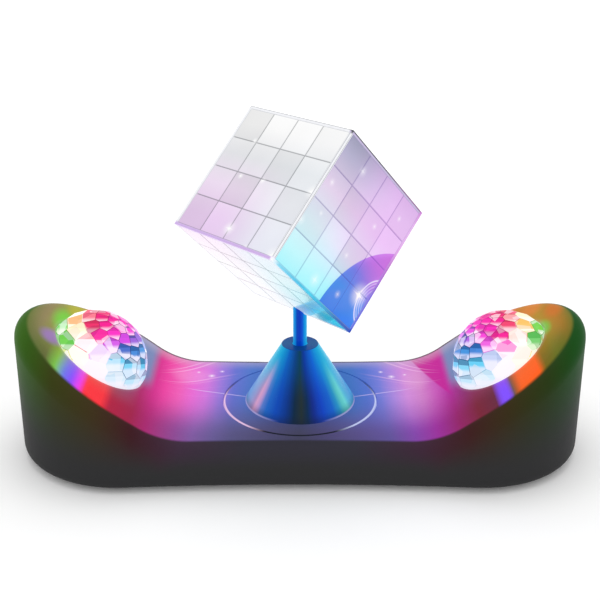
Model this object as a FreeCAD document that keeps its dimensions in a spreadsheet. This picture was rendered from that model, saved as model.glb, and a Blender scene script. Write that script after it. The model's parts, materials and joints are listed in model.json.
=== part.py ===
import FreeCAD, Part
import os
import re
from math import atan2, cos, pi, radians, sin, sqrt, tan

import Sketcher
from FreeCAD import Placement, Rotation, Vector

# A table-top disco lamp: a mirror-tiled cube turns on a spindle above a cradle-shaped
# base, and a faceted crystal dome turns on each of the base's two end ramps.
# Frame: +X along the base, +Z up, -Y is the front, origin on the table under the spindle.

doc = FreeCAD.newDocument("MirrorCubeLamp")
PARTS = "parts"
Z_AXIS = Vector(0, 0, 1)
SIDES = {"left": -1, "right": 1}

# ---------------------------------------------------------------- driving dimensions, mm

DIMENSIONS = {
    # housing outline and deck
    "end_centre": 101.5,
    "end_radius": 61.5,
    "waist_radius": 1371.0,
    "deck_height": 28.0,
    "ramp_foot": 76.2,
    "ramp_angle": 36.0,
    "ramp_blend": 48.5,
    "lip_radius": 8.8,
    "wall": 2.5,
    "blank_height": 110.0,
    # tray and feet
    "foot_height": 1.5,
    "foot_radius": 7.0,
    "foot_inset": 1.0,
    "split_height": 9.5,
    "floor_radius": 7.0,
    "side_screw_x": 95.0,
    "side_screw_y": 50.0,
    "end_screw_x": 156.5,
    "boss_radius": 4.5,
    "screw_radius": 1.5,
    "pilot_radius": 1.1,
    # centre plate and cone
    "plate_radius": 45.2,
    "plate_gap": 0.4,
    "plate_thick": 3.0,
    "plate_edge": 1.2,
    "ledge_inner": 40.0,
    "ledge_thick": 3.5,
    "plate_screw_ring": 42.6,
    "cone_base": 32.2,
    "cone_top": 10.5,
    "cone_height": 36.0,
    "cone_wall": 2.8,
    "cone_screw_ring": 22.0,
    "cone_boss_radius": 3.6,
    "cone_boss_height": 9.0,
    # spindle
    "shaft_radius": 4.0,
    "shaft_foot": 6.3,
    "bush_radius": 6.5,
    "bush_bore": 4.05,
    "shaft_gap": 0.4,
    # gears
    "gear_module": 1.0,
    "spindle_teeth": 36,
    "dome_teeth": 64,
    "pinion_teeth": 12,
    "gear_level": 14.5,
    "gear_width": 5.0,
    # mirror cube
    "cube_edge": 80.0,
    "cube_centre_height": 139.7,
    "cube_heading": 46.87,
    "strip_width": 1.5,
    "tile_thick": 1.4,
    "tile_gap": 0.35,
    "tile_bevel": 0.35,
    "core_wall": 3.0,
    "hub_radius": 9.0,
    # crystal domes
    "dome_x": 116.0,
    "dome_radius": 29.4,
    "dome_sphere": 29.85,
    "dome_wall": 3.2,
    "collar_bore": 26.0,
    "dome_flange": 32.5,
    "dome_gap": 0.4,
    "bearing_drop": 9.8,
    "bearing_thick": 2.2,
    "post_ring": 37.5,
    "post_radius": 3.5,
    # electrics at the rear
    "board_height": 10.0,
    "socket_x": -30.0,
    "button_x": 30.0,
    "button_height": 14.8,
    "button_radius": 4.5,
}

dims = doc.addObject("Spreadsheet::Sheet", "Dimensions")
for row, (alias, number) in enumerate(DIMENSIONS.items(), 1):
    dims.set(f"A{row}", alias)
    dims.set(f"B{row}", str(number))
    dims.setAlias(f"B{row}", alias)
doc.recompute()


def bound(formula):
    """A formula in alias names, as a FreeCAD expression on the sheet."""
    def cell(match):
        word = match[0]
        return "Dimensions." + word if word in DIMENSIONS else word
    return re.sub(r"[a-z_]+", cell, str(formula))


def size(formula):
    """The number that a formula in alias names stands for."""
    return float(dims.evalExpression(bound(formula)))


# ---------------------------------------------------------------- modelling helpers

nodes = {}


def node(name, item):
    """Registers a finished sub-part under the name of its file."""
    item.Label = name
    nodes[name] = item
    return item


def body(name):
    return doc.addObject("PartDesign::Body", name + "_body")


def sketch(owner, role, lift="0"):
    """An empty sketch on one of the body's own origin planes, lifted along its normal."""
    item = owner.newObject("Sketcher::SketchObject", owner.Name + "_sketch")
    plane = [feature for feature in owner.Origin.OriginFeatures if feature.Role == role][0]
    item.AttachmentSupport = [(plane, "")]
    item.MapMode = "FlatFace"
    item.setExpression("AttachmentOffset.Base.z", bound(lift))
    return item


def fix(item, kind, *where_and_formula):
    """A dimension whose value is bound to the sheet."""
    *where, formula = where_and_formula
    index = item.addConstraint(Sketcher.Constraint(kind, *where, size(formula)))
    item.setExpression(f"Constraints[{index}]", bound(formula))


def draw_circle(item, x, y, radius):
    centre = Vector(size(x), size(y), 0)
    circle = item.addGeometry(Part.Circle(centre, Z_AXIS, size(radius)), False)
    fix(item, "DistanceX", circle, 3, x)
    fix(item, "DistanceY", circle, 3, y)
    fix(item, "Radius", circle, radius)


def arc_between(start, end, radius, side):
    """The short arc from start to end, counter-clockwise where side is 1."""
    chord = end - start
    left = Vector(-chord.y, chord.x, 0).normalize()
    rise = sqrt(radius ** 2 - chord.Length ** 2 / 4)
    centre = (start + end) * 0.5 + left * (rise * side)
    first, last = (start, end) if side > 0 else (end, start)
    angles = [atan2(point.y - centre.y, point.x - centre.x) for point in (first, last)]
    return Part.ArcOfCircle(Part.Circle(centre, Z_AXIS, radius), *angles)


def draw_outline(item, corners):
    """A closed outline. A corner is (x, y), or (x, y, radius, side) where an arc leaves it."""
    points = [Vector(size(corner[0]), size(corner[1]), 0) for corner in corners]
    edges = []
    for index, corner in enumerate(corners):
        start, end = points[index], points[(index + 1) % len(points)]
        if len(corner) == 2:
            line = item.addGeometry(Part.LineSegment(start, end), False)
            edges.append((line, 1, 2))
            continue
        radius, side = corner[2:]
        arc = item.addGeometry(arc_between(start, end, size(radius), side), False)
        fix(item, "Radius", arc, radius)
        edges.append((arc, 1, 2) if side > 0 else (arc, 2, 1))
    for index, (edge, first, last) in enumerate(edges):
        following = edges[(index + 1) % len(edges)]
        item.addConstraint(Sketcher.Constraint("Coincident", edge, last, following[0], following[1]))
        fix(item, "DistanceX", edge, first, corners[index][0])
        fix(item, "DistanceY", edge, first, corners[index][1])


def draw_box(item, x, y, width, depth):
    """A rectangle centred on x, y."""
    left, right = f"({x}) - ({width}) / 2", f"({x}) + ({width}) / 2"
    low, high = f"({y}) - ({depth}) / 2", f"({y}) + ({depth}) / 2"
    draw_outline(item, [(left, low), (right, low), (right, high), (left, high)])


def feature(owner, kind, profile, length=None, through=False, both=False, back=False):
    """A pad or pocket of a sketch; through goes both ways to the end of the body."""
    doc.recompute()
    item = owner.newObject("PartDesign::" + kind, owner.Name + "_" + kind.lower())
    item.Profile = profile
    if through:
        item.Type = "ThroughAll"
    else:
        item.setExpression("Length", bound(length))
    if through or both:
        item.SideType = "Symmetric"
    item.Reversed = back
    doc.recompute()
    return item


def slab(owner, lift, thick, corners=None, circles=()):
    """A pad from height lift up: an outline, or circles given as (x, y, radius)."""
    profile = sketch(owner, "XY_Plane", lift)
    if corners:
        draw_outline(profile, corners)
    for circle in circles:
        draw_circle(profile, *circle)
    return feature(owner, "Pad", profile, thick)


def eased(owner, kind, base, length, chosen):
    """A fillet or chamfer on the edges of a feature whose bounding boxes pass a test."""
    edges = [f"Edge{k}" for k, edge in enumerate(base.Shape.Edges, 1) if chosen(edge.BoundBox)]
    item = owner.newObject("PartDesign::" + kind, owner.Name + "_" + kind.lower())
    item.Base = (base, edges)
    item.setExpression("Radius" if kind == "Fillet" else "Size", bound(length))
    doc.recompute()
    return item


def holes(owner, lift, depth, circles):
    """Round pockets from height lift up; the volume must shrink."""
    before = owner.Shape.Volume
    profile = sketch(owner, "XY_Plane", lift)
    for circle in circles:
        draw_circle(profile, *circle)
    item = feature(owner, "Pocket", profile, depth, back=True)
    if owner.Shape.Volume >= before:
        raise RuntimeError(f"{owner.Name}: a hole cuts nothing")
    return item


def turned(name, corners):
    """A body turned about Z from a profile of (radius, height) corners."""
    owner = body(name)
    profile = sketch(owner, "XZ_Plane")
    draw_outline(profile, corners)
    doc.recompute()
    item = owner.newObject("PartDesign::Revolution", name + "_turned")
    item.Profile = profile
    item.ReferenceAxis = (profile, ["V_Axis"])
    item.Angle = 360
    doc.recompute()
    return owner


def ring_corners(inner, outer, low, high):
    return [(inner, low), (outer, low), (outer, high), (inner, high)]


def block(name, low, high):
    """A rectangular body between two corners."""
    owner = body(name)
    profile = sketch(owner, "XY_Plane", low[2])
    draw_outline(profile, [(low[0], low[1]), (high[0], low[1]), (high[0], high[1]), (low[0], high[1])])
    feature(owner, "Pad", profile, f"({high[2]}) - ({low[2]})")
    return owner


def combine(kind, name, base, *tools):
    """Part::Cut or Part::Common with one or more tools, or Part::MultiFuse."""
    if kind == "MultiFuse":
        item = doc.addObject("Part::MultiFuse", name)
        item.Shapes = [base, *tools]
        doc.recompute()
        return item
    if len(tools) > 1:
        tools = [combine("MultiFuse", name + "_tools", *tools)]
    item = doc.addObject("Part::" + kind, name + "_" + kind.lower())
    item.Base = base
    item.Tool = tools[0]
    doc.recompute()
    return item


def cylinder(name, radius, length, place):
    item = doc.addObject("Part::Cylinder", name)
    item.setExpression("Radius", bound(radius))
    item.setExpression("Height", bound(length))
    item.Placement = place
    doc.recompute()
    return item


def solid(name, shape, place=Placement()):
    """A sub-part whose shape comes from a formula or from repeating another sub-part."""
    item = doc.addObject("Part::Feature", name)
    item.Shape = shape
    item.Placement = place
    return item


def repeated(name, original, places):
    """One node of separate copies of a part; each place is a Placement."""
    copies = []
    for place in places:
        copy = original.Shape.copy()
        copy.Placement = place.multiply(copy.Placement)
        copies.append(copy)
    return node(name, solid(name, Part.Compound(copies)))


def at(x, y, z, rotation=Rotation()):
    return Placement(Vector(x, y, z), rotation)


def screw(name, shank, length, head, head_height):
    """A round-head screw pointing up: its head's underside is at height 0."""
    return turned(name, [
        ("0", f"-{head_height}"),
        (head, f"-{head_height}"),
        (head, "0"),
        (shank, "0"),
        (shank, length),
        ("0", length),
    ])


# ---------------------------------------------------------------- gears

def gear_outline(teeth, module, play, level):
    """The polygon of an involute spur gear; play narrows each tooth at the pitch circle."""
    pitch = teeth * module / 2
    base = pitch * cos(radians(20))
    root = pitch - 1.25 * module
    tip = pitch + module
    inv_pitch = tan(radians(20)) - radians(20)
    half_pitch = (pi * module / 2 - play) / 2 / pitch
    flank = []
    for step in range(5):
        radius = max(base, root) + (tip - max(base, root)) * step / 4
        angle = sqrt(max((radius / base) ** 2 - 1, 0))
        half = half_pitch + inv_pitch - (angle - atan2(angle, 1))
        flank.append((radius, half))
    if root < base:
        flank.insert(0, (root, flank[0][1]))
    points = []
    for tooth in range(teeth):
        middle = 2 * pi * tooth / teeth
        for radius, half in flank:
            points.append(Vector(radius * cos(middle - half), radius * sin(middle - half), level))
        for radius, half in reversed(flank):
            points.append(Vector(radius * cos(middle + half), radius * sin(middle + half), level))
    return points + points[:1]


def gear(teeth, low, high, bore, play=0.14):
    """A spur gear about Z between two heights, with a round bore."""
    level, width = size(low), size(high) - size(low)
    outline = Part.makePolygon(gear_outline(int(size(teeth)), size("gear_module"), play, level))
    blank = Part.Face(outline).extrude(Vector(0, 0, width))
    return blank.cut(Part.makeCylinder(size(bore), width, Vector(0, 0, level)))


def meshed(angle_deg, teeth):
    """The turn that puts a gap of a gear with this many teeth on the line at angle_deg."""
    return angle_deg + 180.0 / teeth


# ---------------------------------------------------------------- housing

TURN = "(waist_radius + end_radius)"
WAIST_Y = f"sqrt({TURN} ^ 2 - end_centre ^ 2)"


def plan(inset):
    """The housing's outline moved inwards: two round ends joined by slightly hollow sides."""
    share = f"(waist_radius + {inset}) / {TURN}"
    x = f"end_centre * {share}"
    y = f"{WAIST_Y} * (1 - {share})"
    waist, end = f"waist_radius + {inset}", f"end_radius - {inset}"
    tip = f"end_centre + end_radius - {inset}"
    return [
        (x, y, waist, -1),
        (f"-{x}", y, end, 1),
        (f"-({tip})", "0", end, 1),
        (f"-{x}", f"-({y})", waist, -1),
        (x, f"-({y})", end, 1),
        (tip, "0", end, 1),
    ]


def above_deck(inset):
    """The side view of the space over the deck: flat middle, blends and straight end ramps."""
    flat_x = "(ramp_foot - ramp_blend * tan(ramp_angle / 2))"
    radius = f"ramp_blend + {inset}"
    ramp_x = f"{flat_x} + ({radius}) * sin(ramp_angle)"
    ramp_z = f"deck_height + ramp_blend - ({radius}) * cos(ramp_angle)"
    far_x = "2 * end_centre"
    far_z = f"{ramp_z} + ({far_x} - ({ramp_x})) * tan(ramp_angle)"
    level = f"deck_height - {inset}"
    return [
        (f"-{far_x}", far_z),
        (f"-({ramp_x})", ramp_z, radius, 1),
        (f"-{flat_x}", level),
        (flat_x, level, radius, 1),
        (ramp_x, ramp_z),
        (far_x, far_z),
    ]


def hull(name, inset):
    """The housing's form above the split, moved inwards, with its rounded upper lip."""
    owner = body(name)
    slab(owner, "split_height", "blank_height - split_height", plan(inset))
    side = sketch(owner, "XZ_Plane")
    draw_outline(side, above_deck(inset))
    carved = feature(owner, "Pocket", side, through=True)
    split = size("split_height")
    eased(owner, "Fillet", carved, f"lip_radius - {inset}", lambda box: box.ZMax > split + 0.01 and box.XLength > 0.01)
    return owner


def dish(name, inset, low, high, radius):
    """The housing's form below the split: a slab of the outline with its lower edge rounded."""
    owner = body(name)
    pad = slab(owner, low, f"{high} - ({low})", plan(inset))
    floor = size(low)
    eased(owner, "Fillet", pad, radius, lambda box: box.ZMax < floor + 0.01)
    return owner


def dome_frame(side):
    """The frame of a crystal dome: its origin on the ramp, +Z out of the ramp."""
    x = SIDES[side] * size("dome_x")
    z = size("deck_height + (dome_x - ramp_foot) * tan(ramp_angle)")
    turn = Rotation(Vector(0, 1, 0), -SIDES[side] * size("ramp_angle"))
    return Placement(Vector(x, 0, z), turn)


POST_ANGLES = (30, 150, 270)
TRAY_SCREWS = [(sx * size("side_screw_x"), sy * size("side_screw_y")) for sx in (-1, 1) for sy in (-1, 1)]
TRAY_SCREWS += [(sx * size("end_screw_x"), 0.0) for sx in (-1, 1)]


def ring_points(radius, angles):
    return [(radius * cos(radians(angle)), radius * sin(radians(angle))) for angle in angles]


def tray_boss_top(x):
    """The side bosses reach the ramp's underside; the end bosses stand against the wall."""
    return 37.5 if abs(x) < size("end_centre") else 30.0


def make_upper_shell():
    """Deck, lip and walls in one moulding, open below, with bosses and a plate ledge."""
    skin = combine("Cut", "shell_skin", hull("hull", "0"), hull("cavity", "wall"))
    adds, cuts = [], []
    split = size("split_height")
    for x, y in TRAY_SCREWS:
        tall = tray_boss_top(x) - split
        adds.append(cylinder("shell_boss", "boss_radius", tall, at(x, y, split)))
        cuts.append(cylinder("shell_pilot", "screw_radius", 9.0, at(x, y, split - 0.1)))
    ledge_top = size("deck_height - plate_thick")
    ledge_low = ledge_top - size("ledge_thick")
    adds.append(cylinder("ledge", "plate_radius + 2.8", "ledge_thick + 1", at(0, 0, ledge_low)))
    cuts.append(cylinder("plate_seat", "plate_radius + plate_gap", 9.0, at(0, 0, ledge_top)))
    cuts.append(cylinder("ledge_hole", "ledge_inner", 20.0, at(0, 0, ledge_low - 5)))
    for x, y in ring_points(size("plate_screw_ring"), (90, 210, 330)):
        cuts.append(cylinder("ledge_screw_hole", 1.3, 20.0, at(x, y, ledge_low - 5)))
    for side in SIDES:
        frame = dome_frame(side)
        cuts.append(cylinder("dome_hole", "dome_radius + dome_gap", 36.0, frame.multiply(at(0, 0, -6))))
        for x, y in ring_points(size("post_ring"), POST_ANGLES):
            low = frame.multiply(at(x, y, -size("bearing_drop")))
            adds.append(cylinder("dome_post", "post_radius", "bearing_drop - 1", low))
            cuts.append(cylinder("dome_post_pilot", "pilot_radius", 6.0, low))
    slot_y = size(f"{WAIST_Y} - waist_radius")
    socket = block("socket_slot", ("socket_x - 4.9", slot_y - 6, 11.3), ("socket_x + 4.9", slot_y + 6, 15.3))
    cuts.append(socket)
    into_wall = Rotation(Vector(1, 0, 0), -90)
    button_at = at(size("button_x"), slot_y - 6, size("button_height"), into_wall)
    cuts.append(cylinder("button_hole", "button_radius + 0.35", 12.0, button_at))
    full = combine("MultiFuse", "shell_full", skin, *adds)
    node("upper_shell", combine("Cut", "upper_shell", full, *cuts))


FEET = [(-118, -36), (-118, 36), (118, -36), (118, 36), (0, -42), (0, 42)]
MOTOR_Y = "(spindle_teeth + pinion_teeth) * gear_module / 2"
BOARD = ("-88", "-14", "-30", "50.5")
BOARD_POSTS = [(-84, -10), (-84, 46), (-42, -10), (-42, 42)]
SWITCH_POSTS = (22, 38)


def make_bottom_tray():
    """Shallow dish that closes the housing, with posts for what stands inside."""
    outer = dish("tray_outer", "0", "foot_height", "split_height", "floor_radius")
    inner = dish("tray_inner", "wall", "foot_height + wall", "split_height", "floor_radius - wall")
    skin = combine("Cut", "tray_skin", outer, inner)
    floor = size("foot_height + wall") - 0.5
    split = size("split_height")
    adds, cuts = [], []
    for x, y in TRAY_SCREWS:
        adds.append(cylinder("tray_boss", "boss_radius", split - floor, at(x, y, floor)))
        cuts.append(cylinder("tray_head_hole", 3.2, 5.0, at(x, y, 0)))
        cuts.append(cylinder("tray_shank_hole", 1.6, 12.0, at(x, y, 0)))
    for x, y in FEET:
        cuts.append(cylinder("foot_recess", "foot_radius", "foot_height + foot_inset", at(x, y, 0)))
    adds.append(cylinder("bearing_boss", "bush_radius + 3", 12.0 - floor, at(0, 0, floor)))
    cuts.append(cylinder("bearing_seat", "bush_radius", 10.0, at(0, 0, 6.0)))
    motor_y = size(MOTOR_Y)
    for x in (-18, 18):
        adds.append(cylinder("motor_post", 3.5, 12.8 - floor, at(x, motor_y, floor)))
        cuts.append(cylinder("motor_post_pilot", "pilot_radius", 6.0, at(x, motor_y, 8.0)))
    for x, y in BOARD_POSTS:
        adds.append(cylinder("board_post", 3.0, size("board_height") - floor, at(x, y, floor)))
        cuts.append(cylinder("board_post_pilot", "pilot_radius", 5.0, at(x, y, 6.0)))
    for x in SWITCH_POSTS:
        adds.append(block("switch_post", (x - 2.5, 41.5, floor), (x + 2.5, 46.0, 21.0)))
        cuts.append(cylinder("switch_pilot", 0.9, 4.0, at(x, 42.5, 17.5, Rotation(Vector(1, 0, 0), -90))))
    full = combine("MultiFuse", "tray_full", skin, *adds)
    node("bottom_tray", combine("Cut", "bottom_tray", full, *cuts))


def make_tray_hardware():
    foot = turned("foot", [
        ("0", "0"),
        ("foot_radius - 0.6", "0"),
        ("foot_radius", "0.6"),
        ("foot_radius", "foot_height + foot_inset"),
        ("0", "foot_height + foot_inset"),
    ])
    repeated("rubber_feet", foot, [at(x, y, 0) for x, y in FEET])
    tray_screw = screw("tray_screw", "screw_radius", "12.0", "3.0", "1.6")
    repeated("tray_screws", tray_screw, [at(x, y, 5.0) for x, y in TRAY_SCREWS])


# ---------------------------------------------------------------- centre plate and cone

def make_centre_plate():
    """Round plate let into the deck over the spindle drive; the cone stands on it."""
    owner = body("centre_plate")
    low = "deck_height - plate_thick"
    pad = slab(owner, low, "plate_thick", circles=[("0", "0", "plate_radius")])
    top = size("deck_height")
    eased(owner, "Fillet", pad, "plate_edge", lambda box: box.ZMin > top - 0.01)
    holes(owner, low, "plate_thick", [("0", "0", "9.0")])
    ledge = [(x, y, "pilot_radius") for x, y in ring_points(size("plate_screw_ring"), (90, 210, 330))]
    holes(owner, low, "2.2", ledge)
    cone = [(x, y, "1.3") for x, y in ring_points(size("cone_screw_ring"), (30, 150, 270))]
    holes(owner, low, "plate_thick", cone)
    node("centre_plate", owner)
    ledge_low = size("deck_height - plate_thick - ledge_thick")
    plate_screw = screw("plate_screw", "pilot_radius", "5.5", "2.2", "1.2")
    places = [at(x, y, ledge_low) for x, y in ring_points(size("plate_screw_ring"), (90, 210, 330))]
    repeated("plate_screws", plate_screw, places)


def make_cone():
    """Hollow cone with a bush seat under its top and three screw bosses at its foot."""
    slope = "(cone_base - cone_top) / cone_height"
    top = "deck_height + cone_height"
    bush_top = f"{top} - 3"
    bush_low = f"{top} - 15"
    roof = f"{top} - 7"
    inner = f"cone_top + 7 * {slope} - cone_wall"
    shell = turned("cone_skin", [
        ("cone_base - cone_wall", "deck_height"),
        ("cone_base", "deck_height"),
        ("cone_top", top),
        ("shaft_radius + shaft_gap", top),
        ("shaft_radius + shaft_gap", bush_top),
        ("bush_radius", bush_top),
        ("bush_radius", bush_low),
        ("bush_radius + 2.1", bush_low),
        ("bush_radius + 2.1", roof),
        (inner, roof),
    ])
    adds, cuts = [], []
    for x, y in ring_points(size("cone_screw_ring"), (30, 150, 270)):
        adds.append(cylinder("cone_boss", "cone_boss_radius", "cone_boss_height", at(x, y, size("deck_height"))))
        cuts.append(cylinder("cone_pilot", "pilot_radius", 6.5, at(x, y, size("deck_height") - 0.5)))
    full = combine("MultiFuse", "cone_full", shell, *adds)
    node("cone_cover", combine("Cut", "cone_cover", full, *cuts))
    cone_screw = screw("cone_screw", "pilot_radius", "8.0", "2.4", "1.3")
    low = size("deck_height - plate_thick")
    places = [at(x, y, low) for x, y in ring_points(size("cone_screw_ring"), (30, 150, 270))]
    repeated("cone_screws", cone_screw, places)
    node("upper_bush", turned("upper_bush", ring_corners("bush_bore", "bush_radius", bush_low, bush_top)))
    node("lower_bush", turned("lower_bush", ring_corners("bush_bore", "bush_radius", "6.0", "12.0")))


# ---------------------------------------------------------------- spindle and its drive

CLIP_TOP = "deck_height + cone_height - 15.3"
SHAFT_TOP = "cube_centre_height - 27"


def make_spindle():
    clip_low = f"{CLIP_TOP} - 1.0"
    node("spindle_shaft", turned("spindle_shaft", [
        ("0", "shaft_foot"),
        ("shaft_radius - 0.5", "shaft_foot"),
        ("shaft_radius", "shaft_foot + 0.5"),
        ("shaft_radius", clip_low),
        ("shaft_radius - 0.8", clip_low),
        ("shaft_radius - 0.8", CLIP_TOP),
        ("shaft_radius", CLIP_TOP),
        ("shaft_radius", SHAFT_TOP),
        ("0", SHAFT_TOP),
    ]))
    node("shaft_clip", turned("shaft_clip", ring_corners("shaft_radius - 0.8", "7.5", clip_low, CLIP_TOP)))
    high = "gear_level + gear_width"
    teeth = gear("spindle_teeth", "gear_level", high, "shaft_radius")
    hub = Part.makeCylinder(8.0, 2.0, Vector(0, 0, size("gear_level") - 2.0))
    bore = Part.makeCylinder(size("shaft_radius"), 2.0, Vector(0, 0, size("gear_level") - 2.0))
    node("spindle_gear", solid("spindle_gear", teeth.fuse(hub.cut(bore)).removeSplitter()))


def make_spindle_drive():
    """Gear motor standing on the tray behind the spindle, held by a strap."""
    y = size(MOTOR_Y)
    case = turned("spindle_motor", [
        ("0", "foot_height + wall"),
        ("12.2", "foot_height + wall"),
        ("12.8", "foot_height + wall + 0.6"),
        ("12.8", "12.2"),
        ("12.2", "12.8"),
        ("3.2", "12.8"),
        ("3.2", "13.9"),
        ("1.05", "13.9"),
        ("1.05", "10.0"),
        ("0", "10.0"),
    ])
    case.Placement = at(0, y, 0)
    node("spindle_motor", case)
    strap = body("motor_strap")
    slab(strap, "12.8", "1.1", [("-22", f"{MOTOR_Y} - 4.5"), ("22", f"{MOTOR_Y} - 4.5"),
                                ("22", f"{MOTOR_Y} + 4.5"), ("-22", f"{MOTOR_Y} + 4.5")])
    strap_holes = [("0", MOTOR_Y, "3.2")] + [(x, MOTOR_Y, "pilot_radius") for x in ("-18", "18")]
    holes(strap, "12.8", "1.1", strap_holes)
    node("motor_strap", strap)
    hang = Rotation(Vector(1, 0, 0), 180)
    strap_screw = screw("strap_screw", "pilot_radius", "5.5", "2.2", "1.2")
    repeated("strap_screws", strap_screw, [at(x, y, 13.9, hang) for x in (-18, 18)])
    shaft = cylinder("motor_shaft", 1.0, 9.5, at(0, y, 10.3))
    node("spindle_motor_shaft", shaft)
    turn = Rotation(Z_AXIS, meshed(-90, size("pinion_teeth")))
    pinion = gear("pinion_teeth", "gear_level", "gear_level + gear_width", 1.0)
    node("spindle_pinion", solid("spindle_pinion", pinion, at(0, y, 0, turn)))


# ---------------------------------------------------------------- mirror cube

def cube_place():
    """The cube stands on one horizontal edge, turned about the spindle by its heading."""
    heading = radians(size("cube_heading"))
    away = Vector(sin(heading), cos(heading), 0)
    along = Vector(-cos(heading), sin(heading), 0)
    upper = (Z_AXIS + away) * sqrt(0.5)
    lower = (away - Z_AXIS) * sqrt(0.5)
    return Placement(Vector(0, 0, size("cube_centre_height")), Rotation(along, upper, lower, "XYZ"))


def centred_cube(name, edge):
    owner = body(name)
    profile = sketch(owner, "XY_Plane")
    draw_box(profile, "0", "0", edge, edge)
    feature(owner, "Pad", profile, edge, both=True)
    return owner


FACE_TURNS = {
    "upper_left": Rotation(Vector(0, 1, 0), 180),
    "right": Rotation(Vector(0, 1, 0), -90),
    "under_left": Rotation(Vector(1, 0, 0), 90),
    "left_back": Rotation(Vector(0, 1, 0), 90),
    "upper_back": Rotation(Vector(1, 0, 0), -90),
    "under_back": Rotation(),
}
ROWS = 4


def shaft_tool(radius):
    centre = size("cube_centre_height")
    return cylinder("shaft_path", radius, "cube_edge", at(0, 0, centre - size("cube_edge")))


def make_cube():
    place = cube_place()
    core_edge = "cube_edge - 2 * strip_width"
    hollow_edge = f"{core_edge} - 2 * core_wall"

    frame = centred_cube("cube_frame", "cube_edge")
    for role in ("XY_Plane", "XZ_Plane", "YZ_Plane"):
        window = sketch(frame, role)
        draw_box(window, "0", "0", core_edge, core_edge)
        feature(frame, "Pocket", window, through=True)
    frame.Placement = place
    node("cube_edge_frame", combine("Cut", "cube_edge_frame", frame, shaft_tool("shaft_radius + 0.1")))

    # The core opens towards local +X, where its lid closes it.
    core = centred_cube("cube_core", core_edge)
    mouth = sketch(core, "YZ_Plane", f"-({hollow_edge}) / 2")
    draw_box(mouth, "0", "0", hollow_edge, hollow_edge)
    feature(core, "Pocket", mouth, "cube_edge", back=True)
    step = sketch(core, "YZ_Plane", f"({hollow_edge}) / 2")
    draw_box(step, "0", "0", core_edge, core_edge)
    feature(core, "Pocket", step, "cube_edge", back=True)
    core.Placement = place
    node("cube_core", combine("Cut", "cube_core", core, shaft_tool("shaft_radius + 0.1")))

    lid = body("cube_lid")
    plate = sketch(lid, "YZ_Plane", f"({hollow_edge}) / 2")
    draw_box(plate, "0", "0", core_edge, core_edge)
    feature(lid, "Pad", plate, "core_wall")
    lid.Placement = place
    node("cube_lid", lid)

    room = centred_cube("cube_room", hollow_edge)
    room.Placement = place
    centre = size("cube_centre_height")
    post = cylinder("hub_post", "hub_radius", 40.0, at(0, 0, centre - 60))
    hub = combine("Common", "cube_hub", room, post)
    node("cube_hub", combine("Cut", "cube_hub", hub, shaft_tool("shaft_radius")))

    pitch = size(core_edge) / ROWS
    tile = body("tile")
    face = sketch(tile, "XY_Plane", f"({core_edge}) / 2")
    draw_box(face, "0", "0", f"({core_edge}) / {ROWS} - tile_gap", f"({core_edge}) / {ROWS} - tile_gap")
    pad = feature(tile, "Pad", face, "tile_thick")
    top = size(f"({core_edge}) / 2 + tile_thick")
    eased(tile, "Chamfer", pad, "tile_bevel", lambda box: box.ZMin > top - 0.01)
    steps = [pitch * (k - (ROWS - 1) / 2) for k in range(ROWS)]
    for name, turn in FACE_TURNS.items():
        face_place = place.multiply(Placement(Vector(), turn))
        copies = []
        for x in steps:
            for y in steps:
                copy = tile.Shape.copy()
                copy.Placement = face_place.multiply(at(x, y, 0))
                copies.append(copy)
        grid = solid(name + "_grid", Part.Compound(copies))
        if name.startswith("under"):
            grid = combine("Cut", name, grid, shaft_tool("shaft_radius + 0.2"))
        node("mirror_tiles_" + name, grid)


# ---------------------------------------------------------------- crystal domes

def dome_profile():
    """Hollow spherical cap on a short collar, with a flange under the deck."""
    drop = "sqrt(dome_sphere ^ 2 - dome_radius ^ 2)"
    inside = "dome_sphere - dome_wall"
    meet = f"sqrt(({inside}) ^ 2 - collar_bore ^ 2) - {drop}"
    return [
        ("0", f"{inside} - {drop}"),
        ("0", f"dome_sphere - {drop}", "dome_sphere", -1),
        ("dome_radius", "0"),
        ("dome_radius", "-3"),
        ("dome_flange", "-3"),
        ("dome_flange", "-5"),
        ("collar_bore", "-5"),
        ("collar_bore", meet, inside, 1),
    ]


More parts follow.
